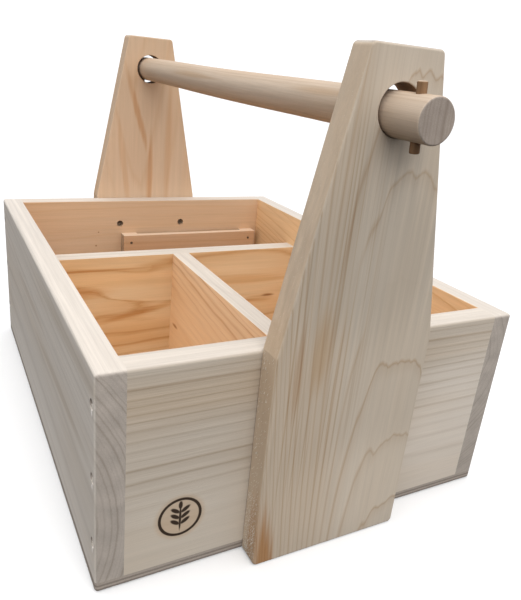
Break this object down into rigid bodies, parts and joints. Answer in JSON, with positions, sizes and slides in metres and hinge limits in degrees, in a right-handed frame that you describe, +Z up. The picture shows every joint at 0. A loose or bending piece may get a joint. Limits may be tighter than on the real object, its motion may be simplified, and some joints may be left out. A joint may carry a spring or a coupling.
{
  "type": "beekeeping tool carrier",
  "caption": "Open wooden tool carrier: three compartments, a slat for hive tools, two tapered uprights and a round bar handle held by cross pins.",
  "frame": {"origin": "on the resting plane, below the middle of the box", "axes": "+Z up, +Y along the handle towards the end with the tool slat, +X to the right seen from the front"},
  "size_m": [0.34, 0.536, 0.351],
  "materials": {
    "base_plywood": "bare plywood, sanded",
    "side_boards": "planed bare softwood",
    "end_boards": "planed bare softwood",
    "dividers": "planed bare softwood",
    "uprights": "planed bare softwood",
    "handle_wood": "turned bare hardwood, smooth",
    "pin_wood": "turned bare hardwood",
    "slat_wood": "planed bare softwood",
    "screws": "dull zinc, countersunk",
    "nails": "dull steel"
  },
  "bodies": {
    "carrier": {"base_panel": "base_plywood", "left_side_board": "side_boards", "right_side_board": "side_boards", "front_board": "end_boards", "back_board": "end_boards", "cross_divider": "dividers", "centre_divider": "dividers", "front_upright": "uprights", "back_upright": "uprights", "tool_slat": "slat_wood", "left_slat_spacer": "slat_wood", "right_slat_spacer": "slat_wood", "front_left_corner_screws": "screws", "front_right_corner_screws": "screws", "back_left_corner_screws": "screws", "back_right_corner_screws": "screws", "front_upright_screws": "screws", "back_upright_screws": "screws", "base_screws": "screws", "divider_screws": "screws", "slat_nails": "nails"},
    "handle": {"handle_bar": "handle_wood"},
    "front_pin": {"front_retaining_pin": "pin_wood"},
    "back_pin": {"back_retaining_pin": "pin_wood"}
  },
  "joints": [
    {"name": "handle_spin", "type": "hinge", "parent": "carrier", "child": "handle", "pos_m": [0, 0, 0.3149], "axis": [0, 1, 0.0044], "continuous": true},
    {"name": "front_pin_pull", "type": "slide", "parent": "handle", "child": "front_pin", "axis": [-0.0872, -0.0044, 0.9962], "range_m": [0, 0.033]},
    {"name": "back_pin_pull", "type": "slide", "parent": "handle", "child": "back_pin", "axis": [-0.0872, -0.0044, 0.9962], "range_m": [0, 0.033]}
  ]
}
